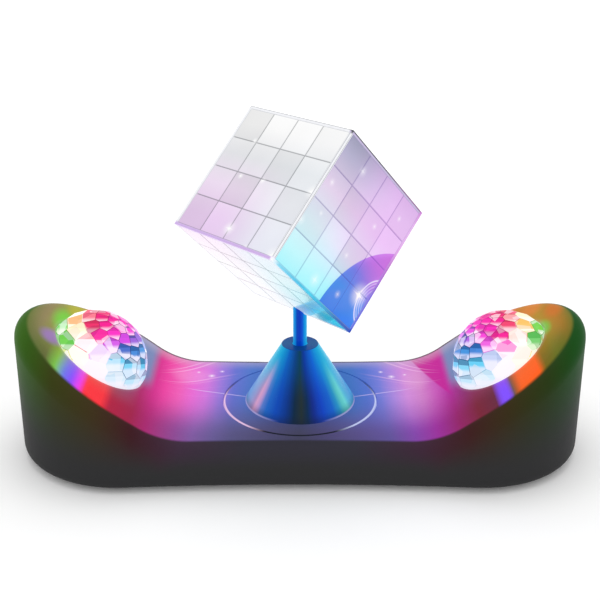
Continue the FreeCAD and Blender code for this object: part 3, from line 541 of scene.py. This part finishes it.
def face_colour(paint, across, up, colours, reflection_tones):
    """Two vertical runs of painted reflection colour blended across the face, then each tile's own painted
    reflection tone.
    """
    left, right, change = colours
    colour = paint.mix(
        paint.step(across, *change), paint.run(up, FACE_SPAN, left), paint.run(up, FACE_SPAN, right))
    index = paint.add(paint.times(tile_number(paint, up), float(TILE_ROWS)), tile_number(paint, across))
    steps = [(k / len(reflection_tones), (reflection_tone, reflection_tone, reflection_tone, 1)) for k, reflection_tone in enumerate(reflection_tones)]
    reflection_tone = paint.ramp(paint.times(paint.add(index, 0.5), 1 / len(reflection_tones)), steps, "CONSTANT")
    return paint.mix(1.0, colour, reflection_tone, "MULTIPLY")


def tile_rim(paint, across, up):
    """1 along the rounded rim of each tile, 0 over its flat."""
    from_line = []
    for value in (across, up):
        share = paint.math("FRACT", paint.add(paint.times(value, 1 / PITCH), TILE_ROWS / 2))
        from_line.append(paint.times(paint.minus(0.5, paint.away(share, 0.5)), PITCH))
    return paint.fall(paint.least(*from_line), 0.25, 0.5)


def corner_reflection(paint, across, up, colour):
    """A curved blue and violet reflection in the corner over the spindle, with fine arcs in it."""
    inside = paint.fall(paint.radius(paint.minus(across, 62.4), paint.minus(up, -40.7)), 56.8, 57.3)
    sweep = paint.run(up, (-40, 16), [
        (-40, rgb(50, 122, 236)), (-24, rgb(62, 136, 236)), (-12, rgb(106, 118, 232)),
        (-2, rgb(184, 108, 230)), (8, rgb(202, 116, 232)), (16, rgb(176, 112, 232))])
    drift = paint.times(paint.step(across, 14.0, 40.0), paint.step(up, -30.0, -8.0))
    sweep = paint.cover(sweep, rgb(206, 108, 226), drift, 0.6)
    colour = paint.cover(colour, sweep, inside, 0.94)
    swirl = paint.radius(paint.minus(across, 45.5), paint.minus(up, -20.0))
    for reach, share in ((15.0, 0.85), (13.4, 0.45), (11.6, 0.4), (9.8, 0.3)):
        line = paint.fall(paint.away(swirl, reach), 0.15, 0.75)
        colour = paint.cover(colour, rgb(236, 230, 255), line, share)
    return colour


def tile_paint(face):
    """Bright mirror tiles with painted reflections: each tile shows its own painted patch of reflected
    coloured light.
    """
    paint = Paint("mirror_tile_" + face)
    across, up = face_axes(paint, face)
    kind, glow = FACES[face]
    colours, reflection_tones, rim_share, rim_tint, stars = FACE_KINDS[kind]
    colour = face_colour(paint, across, up, colours, reflection_tones)
    if face == "right":
        colour = corner_reflection(paint, across, up, colour)
    colour = paint.cover(colour, rim_tint, tile_rim(paint, across, up), rim_share)
    for spots, strength in stars:
        colour = paint.cover(colour, rgb(255, 255, 255), sparkles(paint, across, up, spots), strength)
    paint.set(Metallic=0.3, Roughness=paint.wear(0.10, 0.05, 90.0), Specular_IOR_Level=0.3)
    paint.set(Coat_Weight=0.2, Coat_Roughness=0.03)
    paint.shine(paint.mottle(colour, 38.0, 0.10), 0.25, glow)
    return paint.material


def strip_paint():
    """Pale clear edging with painted reflections: violet under the upper face and blue by the spindle."""
    paint = Paint("edge_strip")
    along, upper, lower = cube_coordinates(paint)
    half = CUBE_EDGE / 2 / MM
    # How far in from the arris a point lies, on either of the two faces that meet there.
    a, b, c = (paint.minus(half, paint.math("ABSOLUTE", value)) for value in (along, upper, lower))
    shallow = paint.least(paint.least(a, b), c)
    middle = paint.most(paint.least(a, b), paint.least(paint.most(a, b), c))
    inward = paint.minus(middle, shallow)
    # 1 near each of five faces; a strip is where two of them are 1.
    start, full = half - 2.6, half - 1.0
    top, far = (paint.step(value, start, full) for value in (upper, lower))
    low, near, right = (paint.fall(value, -full, -start) for value in (upper, lower, along))
    colour = rgb(238, 239, 243)
    line = paint.times(paint.times(top, near), paint.fall(inward, 0.15, 0.55))
    colour = paint.cover(colour, rgb(128, 130, 134), line, 0.7)
    groove = paint.times(paint.times(near, right), paint.fall(paint.away(inward, 0.95), 0.1, 0.3))
    colour = paint.cover(colour, rgb(126, 130, 140), groove, 0.7)
    # From here the strips' colours are painted reflections of the coloured light round the cube.
    dark = paint.mix(paint.step(lower, -10.0, 36.0), rgb(62, 64, 72), rgb(128, 60, 128))
    body = paint.mix(paint.fall(inward, 0.45, 0.9), rgb(186, 172, 212), dark)
    colour = paint.cover(colour, body, paint.times(top, right), 0.95)
    side_run = paint.run(upper, FACE_SPAN, [
        (-40, rgb(60, 96, 226)), (-16, rgb(120, 104, 226)), (0, rgb(190, 104, 222)),
        (12, rgb(226, 160, 234)), (28, rgb(224, 176, 236)), (40, rgb(206, 120, 214))])
    colour = paint.cover(colour, side_run, paint.times(far, right), 0.95)
    colour = paint.cover(colour, rgb(196, 158, 224), paint.times(low, near), 0.85)
    blue_run = paint.run(lower, FACE_SPAN, [
        (-40, rgb(250, 252, 255)), (-34, rgb(120, 214, 240)), (-16, rgb(40, 190, 228)),
        (-4, rgb(24, 206, 238)), (10, rgb(30, 176, 224)), (26, rgb(40, 110, 186)), (40, rgb(44, 84, 200))])
    colour = paint.cover(colour, blue_run, paint.times(low, right), 0.95)
    paint.set(Metallic=0.2, Roughness=paint.wear(0.16, 0.08, 140.0), Specular_IOR_Level=0.3)
    paint.set(Coat_Weight=0.2, Coat_Roughness=0.05)
    paint.shine(paint.mottle(colour, 300.0, 0.12), 0.5, 0.52)
    return paint.material


# ---------------------------------------------------------------- cone and spindle colours

# Painted reflection colours round the front of the cone, from its left side to its right, at its foot and
# at its top.
CONE_BAND = [
    (-1.0, rgb(116, 170, 224)), (-0.95, rgb(150, 168, 220)), (-0.90, rgb(178, 156, 206)),
    (-0.86, rgb(228, 172, 212)), (-0.81, rgb(196, 158, 214)), (-0.75, rgb(96, 132, 210)),
    (-0.66, rgb(34, 108, 204)), (-0.48, rgb(14, 78, 190)), (-0.28, rgb(10, 56, 140)),
    (-0.12, rgb(12, 44, 72)), (0.03, rgb(36, 50, 52)), (0.15, rgb(12, 46, 82)),
    (0.27, rgb(18, 46, 140)), (0.45, rgb(18, 72, 200)), (0.64, rgb(26, 104, 210)),
    (0.75, rgb(46, 156, 206)), (0.83, rgb(96, 210, 206)), (0.89, rgb(116, 228, 222)),
    (0.94, rgb(92, 196, 228)), (1.0, rgb(80, 170, 224)),
]
CONE_BAND_TOP = [
    (-1.0, rgb(26, 196, 232)), (-0.8, rgb(14, 160, 220)), (-0.5, rgb(8, 100, 196)),
    (-0.22, rgb(6, 68, 138)), (0.0, rgb(6, 66, 88)), (0.18, rgb(8, 58, 160)),
    (0.5, rgb(14, 104, 216)), (0.8, rgb(20, 166, 226)), (1.0, rgb(26, 196, 232)),
]
# Painted reflection colours round the spindle, from its left side to its right.
SPINDLE_BAND = [
    (-1.0, rgb(30, 180, 240)), (-0.62, rgb(16, 128, 226)), (-0.45, rgb(6, 70, 190)),
    (0.0, rgb(4, 60, 196)), (0.35, rgb(8, 88, 218)), (0.6, rgb(20, 150, 236)),
    (1.0, rgb(40, 196, 244)),
]


def turned_share(paint, x, y):
    """-1 at the left of a round piece, 0 at its front and back, 1 at its right."""
    return paint.over(x, paint.most(paint.radius(x, y), 0.01))


def cone_paint():
    """Deep blue gloss, with painted long light and dark reflection streaks like those a polished cone
    shows.
    """
    paint = Paint("cone_gloss")
    x, y, z = paint.xyz()
    share = turned_share(paint, x, y)
    low, high = paint.run(share, LEFT_TO_RIGHT, CONE_BAND), paint.run(share, LEFT_TO_RIGHT, CONE_BAND_TOP)
    foot, top = DECK / MM, CONE_TOP / MM
    colour = paint.mix(paint.step(z, foot + 10, top - 4), low, high)
    # Painted shade: darker towards the foot, where the cone meets the deck.
    colour = paint.cover(colour, rgb(24, 34, 62), paint.fall(z, foot, foot + 5), 0.45)
    # A thin painted highlight round the foot, on the cone's sides.
    sides = paint.step(paint.math("ABSOLUTE", share), 0.35, 0.8)
    foot_highlight = paint.times(paint.fall(z, foot + 0.5, foot + 1.1), sides)
    colour = paint.cover(colour, rgb(176, 170, 226), foot_highlight, 0.8)
    colour = paint.cover(colour, rgb(12, 64, 136), paint.step(z, top - 0.4, top - 0.1), 0.9)
    # Noise stretched down the cone adds more painted light and dark reflection streaks.
    grain = paint.join(paint.times(share, 0.35), 0.0, paint.times(z, 0.0006))
    paint.set(Metallic=0.05, Roughness=paint.wear(0.26, 0.08), Specular_IOR_Level=0.05)
    paint.set(Coat_Weight=0.04, Coat_Roughness=0.1)
    paint.shine(paint.mottle(colour, 26.0, 0.16, 3.0, grain), 0.5, 0.5)
    return paint.material


def spindle_paint():
    """Blue lacquered rod with painted reflections: a dark middle and bright cyan sides."""
    paint = Paint("spindle_lacquer")
    x, y, z = paint.xyz()
    colour = paint.run(turned_share(paint, x, y), LEFT_TO_RIGHT, SPINDLE_BAND)
    grain = paint.join(x, y, paint.times(z, 0.05))
    paint.set(Metallic=0.05, Roughness=paint.wear(0.22, 0.08), Specular_IOR_Level=0.05)
    paint.set(Coat_Weight=0.05, Coat_Roughness=0.08)
    paint.shine(paint.mottle(colour, 900.0, 0.14, vector=grain), 0.5, 0.5)
    return paint.material


# ---------------------------------------------------------------- crystal domes

# Tilt of each ring of facets from the dome's axis in degrees, and how many it has.
DOME_RINGS = ((0.0, 1), (12.0, 6), (24.5, 11), (38.5, 14), (54.0, 15), (71.0, 14))
# How deep the facets are cut, as a share of the sphere's radius; the lowest ring is cut less.
FACET_CUT = 0.985
LOW_FACET_CUT = 0.992
FACET_BEVEL = 0.0002
DOME_SEGMENTS = 96
WELD = 1e-5
# Edges that get no bevel: the short and the nearly flat ones, and those down on the skirt.
SHORT_EDGE = 4e-4
FLAT_ANGLE = radians(6)
SKIRT_TOP = 0.0005


def dome_matrix(side):
    """From a dome's own frame, +Z out of the ramp, to the row frame."""
    x = SIDES[side] * DOME_X
    z = DECK + (DOME_X - RAMP_FOOT) * tan(RAMP_ANGLE)
    turn = Matrix.Rotation(-SIDES[side] * RAMP_ANGLE, 4, "Y")
    return Matrix.Translation((x, 0, z)) @ turn


def cut_by(mesh, point, normal):
    """Slices a closed convex mesh with a plane and keeps the inner side, closed again."""
    geometry = mesh.verts[:] + mesh.edges[:] + mesh.faces[:]
    cut = bmesh.ops.bisect_plane(
        mesh, geom=geometry, dist=1e-7, plane_co=point, plane_no=normal, clear_outer=True)
    rim = [item for item in cut["geom_cut"] if isinstance(item, bmesh.types.BMEdge)]
    if rim:
        bmesh.ops.contextual_create(mesh, geom=rim)


def cut_facets(mesh):
    """One flat facet for each point of the dome's rings; every second ring is turned half a step."""
    centre = Vector((0, 0, -DOME_DROP))
    for ring, (tilt, count) in enumerate(DOME_RINGS):
        cut = LOW_FACET_CUT if ring == len(DOME_RINGS) - 1 else FACET_CUT
        lean = radians(tilt)
        for k in range(count):
            turn = 2 * pi * (k + 0.5 * (ring % 2)) / count
            normal = Vector((sin(lean) * cos(turn), sin(lean) * sin(turn), cos(lean)))
            cut_by(mesh, centre + normal * DOME_SPHERE * cut, normal)
    bmesh.ops.remove_doubles(mesh, verts=mesh.verts, dist=WELD)


def bevel_facets(mesh):
    """Narrow strips along the edges between facets, in the second material slot."""
    sharp = [
        edge for edge in mesh.edges
        if edge.calc_length() > SHORT_EDGE and edge.calc_face_angle(0) > FLAT_ANGLE
        and max(vert.co.z for vert in edge.verts) > SKIRT_TOP]
    strips = bmesh.ops.bevel(
        mesh, geom=sharp, offset=FACET_BEVEL, segments=1, affect="EDGES", profile=0.5)
    for face in strips["faces"]:
        face.material_index = 1


def crystal_dome(side):
    """Solid convex gem: a round block with the facets cut from it and their edges bevelled."""
    mesh = bmesh.new()
    top = DOME_SPHERE - DOME_DROP
    bmesh.ops.create_cone(
        mesh, cap_ends=True, segments=DOME_SEGMENTS, radius1=DOME_RADIUS, radius2=DOME_RADIUS,
        depth=top + DOME_SKIRT)
    bmesh.ops.translate(mesh, vec=(0, 0, (top - DOME_SKIRT) / 2), verts=mesh.verts)
    cut_facets(mesh)
    bevel_facets(mesh)
    mesh.transform(dome_matrix(side))
    data = bpy.data.meshes.new(side + "_crystal")
    mesh.to_mesh(data)
    mesh.free()
    item = bpy.data.objects.new(side + "_crystal", data)
    bpy.context.collection.objects.link(item)
    return item


# Painted light colour of a dome's facets by where they look, in degrees: 0 outwards, 90 up, 180 inwards.
CRYSTAL_HUES = [
    (-180, rgb(40, 196, 236)), (-156, rgb(120, 228, 250)), (-122, rgb(236, 238, 250)),
    (-90, rgb(250, 240, 248)), (-45, rgb(252, 250, 244)), (-8, rgb(236, 250, 214)),
    (14, rgb(150, 232, 130)), (32, rgb(60, 214, 84)), (48, rgb(120, 220, 40)),
    (58, rgb(238, 236, 70)), (70, rgb(252, 214, 176)), (82, rgb(242, 64, 104)),
    (98, rgb(222, 16, 92)), (116, rgb(238, 26, 150)), (134, rgb(252, 56, 196)),
    (147, rgb(206, 70, 222)), (157, rgb(70, 84, 200)), (168, rgb(10, 140, 214)),
    (180, rgb(40, 196, 236)),
]
# How strong that colour is.
CRYSTAL_STRENGTH = [
    (-180, 0.9), (-156, 0.6), (-122, 0.25), (-90, 0.1), (-30, 0.08), (-5, 0.2),
    (14, 0.6), (30, 0.95), (48, 0.85), (58, 0.6), (70, 0.4), (84, 0.9),
    (98, 1.0), (134, 1.0), (148, 0.95), (168, 0.95), (180, 0.9),
]
# The direction that counts as up on a dome: its shares of +Y and +Z.
LOOK_UP = (0.374, 0.927)
# Half the height of a typical facet, in millimetres.
FACET_HALF = 3.6


def upward_part(paint, y, z):
    """How far a direction or a place goes along what counts as up on a dome."""
    return paint.add(paint.times(y, LOOK_UP[0]), paint.times(z, LOOK_UP[1]))


def facet_rise(paint, side, normal, facing, shift):
    """Height across each facet, about -1 at its lower edge to 1 at its upper edge."""
    middle = dome_matrix(side) @ Vector((0, 0, -DOME_DROP))
    spot = paint.node("VectorMath", operation="SUBTRACT")
    paint.put(paint.place(), spot.inputs[0])
    paint.put(middle, spot.inputs[1])
    px, py, pz = paint.xyz(spot.outputs[0])
    nx, ny, nz = normal
    depth = paint.add(paint.add(paint.times(px, nx), paint.times(py, ny)), paint.times(pz, nz))
    above = paint.minus(upward_part(paint, py, pz), paint.times(depth, facing))
    return paint.add(paint.times(above, 1 / FACET_HALF), paint.times(shift, 1.2))


def crystal_shards(paint, colour, hue, strong, above):
    """Broken reflections of the facets behind, as small pale and dark shards."""
    shards = paint.node("TexVoronoi")
    paint.put(paint.place(), shards.inputs["Vector"])
    shards.inputs["Scale"].default_value = 150.0
    pick = paint.xyz(shards.outputs["Color"], 1.0)
    pale = paint.times(paint.step(pick[0], 0.70, 0.74), paint.add(paint.times(strong, 0.3), 0.15))
    colour = paint.mix(pale, colour, rgb(255, 250, 255))
    dark = paint.times(paint.times(paint.step(pick[1], 0.72, 0.76), above), strong)
    return paint.cover(colour, paint.mix(0.45, hue, rgb(60, 20, 70)), dark, 0.5)


def crystal_paint(side, edge=False):
    """Clear faceted crystal lit from inside, with that light painted: each facet bends a different painted
    colour outwards.
    """
    paint = Paint("crystal_" + side + ("_edge" if edge else ""))
    facet = paint.node("TexCoord").outputs["Normal"]
    # Three numbers that are even over a facet and differ from one facet to the next.
    shift = [
        paint.minus(paint.noise(5.0, 1.0, paint.dim(facet, scale)), 0.5) for scale in (1, 1.7, 2.3)]
    normal = nx, ny, nz = paint.xyz(facet, 1.0)
    facing = upward_part(paint, ny, nz)
    outward = paint.add(paint.times(nx, SIDES[side]), paint.times(shift[0], 0.3))
    # The dome leans inwards, so its outer facets are given their full turn again.
    outward = paint.add(outward, paint.times(paint.most(outward, 0.0), 0.6))
    upward = paint.add(facing, paint.times(shift[1], 0.3))
    angle = paint.times(paint.math("ARCTAN2", upward, outward), 180 / pi)
    hue = paint.run(angle, FULL_TURN, CRYSTAL_HUES)
    greys = [(turn, (value, value, value, 1)) for turn, value in CRYSTAL_STRENGTH]
    strength = paint.xyz(paint.run(angle, FULL_TURN, greys), 1.0)[0]
    # The facets round the top stay pale, and so do those that look out and to the front.
    reach = paint.radius(outward, upward)
    quiet = paint.times(paint.step(outward, -0.1, 0.15), paint.fall(upward, 0.30, 0.62))
    near_rim = paint.step(paint.minus(reach, paint.times(quiet, 0.4)), 0.24, 0.62)
    strong = paint.times(near_rim, strength)
    rise = facet_rise(paint, side, normal, facing, shift[2])
    pale = paint.mix(paint.step(outward, -0.3, 0.4), rgb(250, 244, 255), rgb(255, 249, 238))
    tint = paint.times(strong, paint.add(paint.times(paint.step(rise, -0.75, -0.1), 0.6), 0.4))
    colour = paint.mix(paint.most(tint, 0.06), pale, hue)
    # A deeper band under each upper edge, where the facet above shows through.
    band = paint.times(paint.step(rise, 0.34, 0.42), paint.step(strong, 0.3, 0.8))
    under = paint.mix(paint.step(outward, -0.75, -0.45), rgb(6, 64, 128), paint.dim(hue, 0.6))
    colour = paint.cover(colour, under, band, 0.65)
    # A few facets in the middle throw a strong colour.
    accent = paint.times(paint.step(shift[2], 0.09, 0.10), paint.step(upward, 0.0, 0.2))
    accent = paint.times(accent, paint.step(rise, -0.5, -0.4))
    hot = paint.mix(paint.step(outward, -0.1, 0.1), rgb(252, 80, 200), rgb(238, 36, 56))
    colour = paint.cover(colour, paint.mix(strong, hot, hue), accent, 0.85)
    # Thin wedges of pure colour along the upper edges of some pale facets.
    wedge = paint.times(paint.step(rise, 0.42, 0.46), paint.step(shift[0], 0.02, 0.03))
    wedge = paint.times(wedge, paint.times(paint.fall(strong, 0.2, 0.5), paint.step(upward, -0.1, 0.05)))
    pure = paint.mix(paint.step(outward, 0.2, 0.4), rgb(240, 34, 62), rgb(222, 226, 30))
    colour = paint.cover(colour, pure, wedge, 0.85)
    above = paint.step(upward, -0.25, 0.25)
    colour = crystal_shards(paint, colour, hue, strong, above)
    if edge:
        # Painted dark lines along the bevelled edges between facets.
        line = paint.mix(paint.step(outward, -0.75, -0.3), rgb(2, 40, 96), paint.dim(hue, 0.4))
        inner = paint.times(paint.fall(outward, -0.55, -0.3), paint.step(upward, -0.45, -0.1))
        shown = paint.most(paint.times(paint.step(strong, 0.3, 0.8), above), inner)
        colour = paint.cover(colour, line, paint.times(shown, paint.step(reach, 0.4, 0.8)), 0.85)
    paint.set(Roughness=0.05, IOR=1.5, Specular_IOR_Level=0.06, Coat_Weight=0.04, Coat_Roughness=0.02)
    paint.shine(colour, 0.35, 0.80)
    return paint.material


# ---------------------------------------------------------------- plain materials

def plain(name, colour, roughness, grain, metallic=0.0, bump=0.05, scale=600.0, **sockets):
    """A material with fine colour mottling and uneven roughness."""
    paint = Paint(name)
    paint.set(Base_Color=paint.mottle(colour, scale, grain, 3.0), Metallic=metallic)
    paint.set(Roughness=paint.wear(roughness, 0.1, scale), **sockets)
    paint.bump(paint.noise(scale * 3), bump)
    return paint.material


def brushed(name, colour):
    """Drawn metal with fine streaks along one direction."""
    paint = Paint(name)
    x, y, z = paint.xyz()
    grain = paint.join(paint.times(x, 14.0), paint.times(y, 14.0), paint.times(z, 0.8))
    streak = paint.noise(1.0, 3.0, grain)
    paint.set(Base_Color=paint.dim(colour, paint.add(paint.times(streak, 0.3), 0.85)), Metallic=1.0)
    paint.set(Roughness=paint.add(paint.times(streak, 0.2), 0.25))
    return paint.material


def board_paint():
    """Green solder mask with fine copper tracks."""
    paint = Paint("circuit_board")
    tracks = paint.node("TexBrick")
    paint.put(paint.place(), tracks.inputs["Vector"])
    tracks.inputs["Scale"].default_value = 260.0
    tracks.inputs["Color1"].default_value = rgb(18, 96, 52)
    tracks.inputs["Color2"].default_value = rgb(14, 84, 46)
    tracks.inputs["Mortar"].default_value = rgb(40, 128, 70)
    paint.set(Base_Color=tracks.outputs["Color"], Roughness=paint.wear(0.35, 0.1))
    return paint.material


def plain_materials():
    """Materials of the pieces inside and underneath, by their material slot."""
    steel = brushed("drawn_steel", rgb(176, 176, 180))
    white = rgb(255, 255, 255)
    return {
        "steel": steel,
        "motor_can": steel,
        "rubber": plain("foot_rubber", rgb(30, 30, 31), 0.8, 0.25, bump=0.3),
        "black_plastic": plain("black_moulding", rgb(32, 32, 34), 0.5, 0.2),
        "gear_plastic": plain("acetal", rgb(224, 222, 212), 0.45, 0.08),
        "bronze": plain(
            "sintered_bronze", rgb(170, 128, 74), 0.5, 0.3, metallic=0.9, bump=0.3, scale=1400.0),
        "core_plastic": plain("tile_backing", rgb(74, 72, 82), 0.5, 0.12),
        "button": plain("button_satin", rgb(58, 58, 60), 0.35, 0.1),
        "led_lens": plain(
            "led_lens", rgb(250, 250, 255), 0.15, 0.04, Emission_Color=white, Emission_Strength=1.5),
        "reflector": plain("bright_reflector", rgb(228, 228, 232), 0.08, 0.05, metallic=1.0),
        "circuit_board": board_paint(),
    }


# ---------------------------------------------------------------- pieces and their materials

def dress(material, *names):
    """Puts a material on CAD nodes."""
    for name in names:
        NODES[name].data.materials.clear()
        NODES[name].data.materials.append(material)


dress(housing_paint(), "upper_shell", "bottom_tray", "centre_plate")
dress(cone_paint(), "cone_cover")
dress(spindle_paint(), "spindle_shaft")
dress(strip_paint(), "cube_edge_frame")
for face in FACES:
    dress(tile_paint(face), "mirror_tiles_" + face)

for side in SIDES:
    dome = crystal_dome(side)
    dome.data.materials.append(crystal_paint(side))
    dome.data.materials.append(crystal_paint(side, edge=True))
    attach(dome, side + "_dome")
    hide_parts(side + "_crystal_dome")

by_slot = plain_materials()
for part in frame["record"]["subparts"]:
    if part["material_slot"] in by_slot:
        dress(by_slot[part["material_slot"]], part["node"])

# ---------------------------------------------------------------- floor, light and camera

FLOOR_HALF = 14.0
WORLD_STRENGTH = 0.84
MIDDLE = Vector((0, 0, 0.09))
LAMPS = [
    # name, place, width, watts
    ("key", (-0.7, -0.9, 1.6), 1.2, 0.9),
    ("fill", (0.9, -0.7, 1.4), 1.2, 0.3),
    ("overhead", (0, 0.1, 1.9), 1.4, 6.5),
    ("rear", (0, 0.8, 1.8), 1.5, 3.0),
]
CAMERA_PLACE = (0, -0.5958, 0.3311)
CAMERA_TILT_DOWN = 0.3833
CAMERA_LENS = 67.62
CAMERA_SENSOR = 36.0


def pale_floor():
    """A white floor that glows faintly, and more far off, where the lamps don't reach."""
    paint = Paint("pale_floor")
    paint.set(Base_Color=rgb(250, 250, 250), Roughness=0.9, Specular_IOR_Level=0.0)
    distance = paint.radius(*paint.xyz()[:2])
    far = paint.times(paint.step(distance, 300.0, 1500.0), paint.fall(distance, 3000.0, 9000.0))
    paint.set(Emission_Color=(1, 1, 1, 1), Emission_Strength=paint.add(paint.times(far, 0.6), 0.06))
    corners = [(x * FLOOR_HALF, y * FLOOR_HALF, 0) for x, y in ((-1, -1), (1, -1), (1, 1), (-1, 1))]
    mesh = bpy.data.meshes.new("floor")
    mesh.from_pydata(corners, [], [(0, 1, 2, 3)])
    mesh.materials.append(paint.material)
    floor = bpy.data.objects.new("floor", mesh)
    bpy.context.collection.objects.link(floor)
    return floor


def white_world():
    """Even white light from all round."""
    world = bpy.data.worlds.new("studio")
    world.use_nodes = True
    background = world.node_tree.nodes["Background"]
    background.inputs["Color"].default_value = (1, 1, 1, 1)
    background.inputs["Strength"].default_value = WORLD_STRENGTH
    bpy.context.scene.world = world


def area_light(name, place, width, watts):
    """A round soft studio light, aimed at the middle of the object."""
    data = bpy.data.lights.new(name, "AREA")
    data.shape = "DISK"
    data.size = width
    data.energy = watts
    item = bpy.data.objects.new(name, data)
    item.location = place
    item.rotation_euler = (MIDDLE - Vector(place)).to_track_quat("-Z", "Y").to_euler()
    bpy.context.collection.objects.link(item)


def front_camera():
    """A camera in front of the lamp that looks a little down on it."""
    data = bpy.data.cameras.new("camera")
    data.sensor_width = CAMERA_SENSOR
    data.lens = CAMERA_LENS
    camera = bpy.data.objects.new("camera", data)
    camera.location = CAMERA_PLACE
    camera.rotation_euler = (pi / 2 - CAMERA_TILT_DOWN, 0, 0)
    bpy.context.collection.objects.link(camera)
    bpy.context.scene.camera = camera


pale_floor()
white_world()
for lamp in LAMPS:
    area_light(*lamp)
front_camera()
bpy.context.scene.view_settings.view_transform = "Standard"
bpy.context.scene.view_settings.look = "None"
